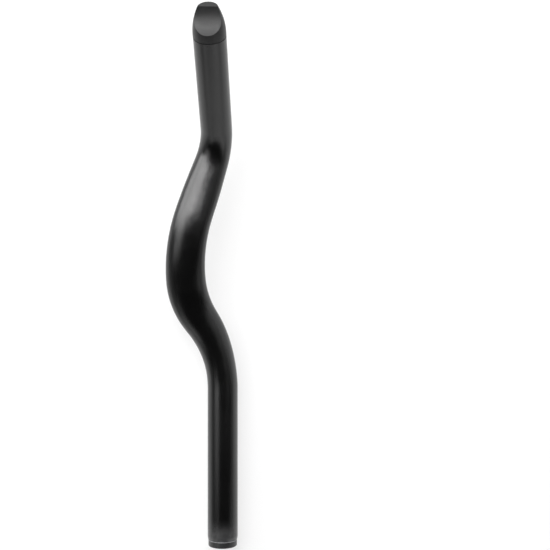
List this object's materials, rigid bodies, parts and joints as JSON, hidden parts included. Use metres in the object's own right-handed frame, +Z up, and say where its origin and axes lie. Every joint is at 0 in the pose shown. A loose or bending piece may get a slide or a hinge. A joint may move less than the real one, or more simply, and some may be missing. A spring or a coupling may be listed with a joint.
{
  "type": "aero handlebar extension",
  "caption": "Left aero handlebar extension: a round clamp section, a wide oval palm section bowed outwards and a raised round grip section, closed by a hollowed cap and a plug.",
  "frame": {"origin": "on the axis of the clamp section, in the middle of the straight run", "axes": "+Y forwards along the clamp section towards the grip, +X to the rider's right, +Z up"},
  "size_m": [0.0511, 0.3763, 0.1105],
  "materials": {
    "tube_paint": "fine-textured satin black paint on alloy",
    "cap_plastic": "fine-grained moulded black plastic",
    "plug_plastic": "smooth moulded black plastic"
  },
  "bodies": {
    "root": {"extension_tube": "tube_paint", "front_cap": "cap_plastic", "rear_plug": "plug_plastic"}
  },
  "joints": []
}
